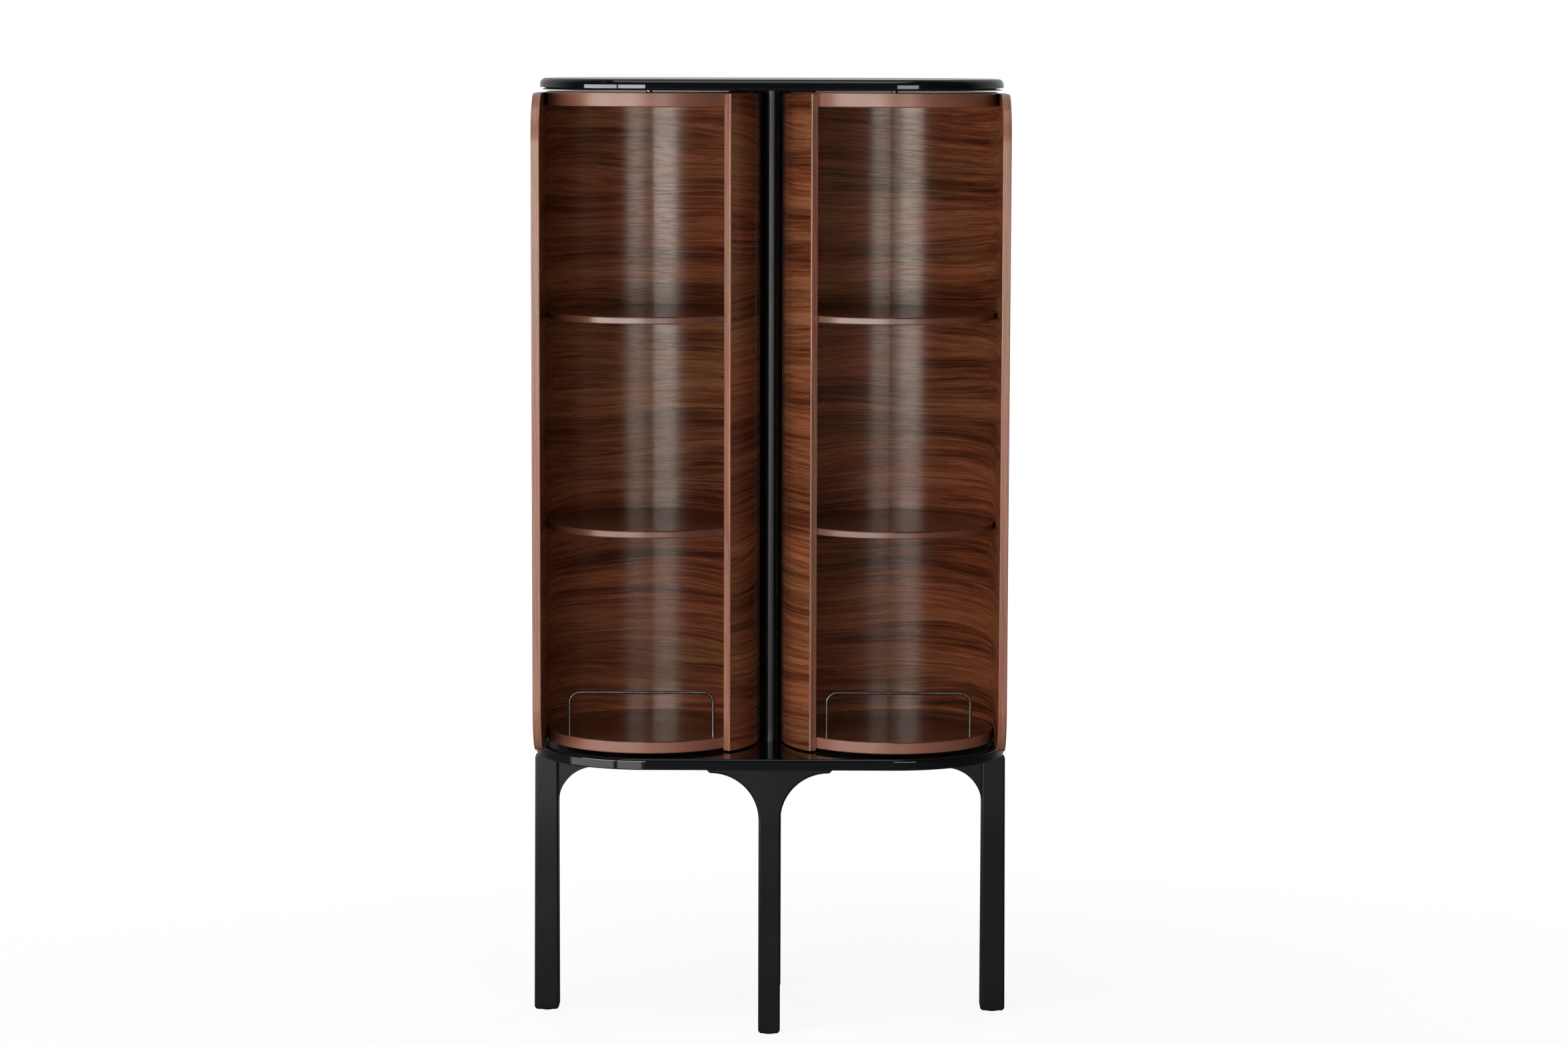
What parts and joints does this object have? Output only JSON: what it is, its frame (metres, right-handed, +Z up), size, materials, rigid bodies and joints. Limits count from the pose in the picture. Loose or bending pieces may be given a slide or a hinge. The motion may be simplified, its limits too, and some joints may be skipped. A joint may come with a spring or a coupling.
{
  "type": "bar armoire",
  "caption": "Free-standing bar cabinet on legs: open walnut drums with round shelves and wire gallery rails, each turning a quarter turn to close the front.",
  "frame": {"origin": "on the ground under the middle of the base", "axes": "+X to the right seen from the front, +Y to the back, +Z up"},
  "size_m": [0.86, 0.41, 1.7],
  "materials": {
    "walnut": "bent walnut veneer with level grain, satin lacquer",
    "walnut_edge": "solid walnut edging, rose-brown stain, satin",
    "walnut_board": "stained walnut board, satin",
    "black_lacquer": "high gloss black lacquer",
    "satin_black": "satin black lacquer",
    "rail_metal": "dark bronze, satin",
    "steel": "turned steel",
    "bronze": "sintered bronze",
    "nylon": "black nylon",
    "beech": "plain beech"
  },
  "bodies": {
    "frame": {"base_slab": "black_lacquer", "top_slab": "black_lacquer", "front_leg": "satin_black", "back_leg": "satin_black", "left_leg": "satin_black", "right_leg": "satin_black", "leg_glides": "nylon", "leg_dowels": "beech", "centre_post": "black_lacquer", "back_panel": "black_lacquer", "spine_dowels": "beech", "left_lower_bush": "bronze", "right_lower_bush": "bronze", "left_upper_bush": "bronze", "right_upper_bush": "bronze", "left_thrust_washer": "nylon", "right_thrust_washer": "nylon", "left_stop_pin": "steel", "right_stop_pin": "steel"},
    "left_drum": {"left_shell": "walnut", "left_front_edging": "walnut_edge", "left_inner_edging": "walnut_edge", "left_floor": "walnut_board", "left_lower_shelf": "walnut_board", "left_upper_shelf": "walnut_board", "left_ceiling": "walnut_board", "left_gallery_rail": "rail_metal", "left_board_dowels": "beech", "left_lower_pivot": "steel", "left_upper_pivot": "steel"},
    "right_drum": {"right_shell": "walnut", "right_front_edging": "walnut_edge", "right_inner_edging": "walnut_edge", "right_floor": "walnut_board", "right_lower_shelf": "walnut_board", "right_upper_shelf": "walnut_board", "right_ceiling": "walnut_board", "right_gallery_rail": "rail_metal", "right_board_dowels": "beech", "right_lower_pivot": "steel", "right_upper_pivot": "steel"}
  },
  "joints": [
    {"name": "left_drum_turn", "type": "hinge", "parent": "frame", "child": "left_drum", "pos_m": [-0.22, 0, 0.5], "axis": [0, 0, 1], "range_deg": [0, 90]},
    {"name": "right_drum_turn", "type": "hinge", "parent": "frame", "child": "right_drum", "pos_m": [0.22, 0, 0.5], "axis": [0, 0, 1], "range_deg": [-90, 0]}
  ]
}
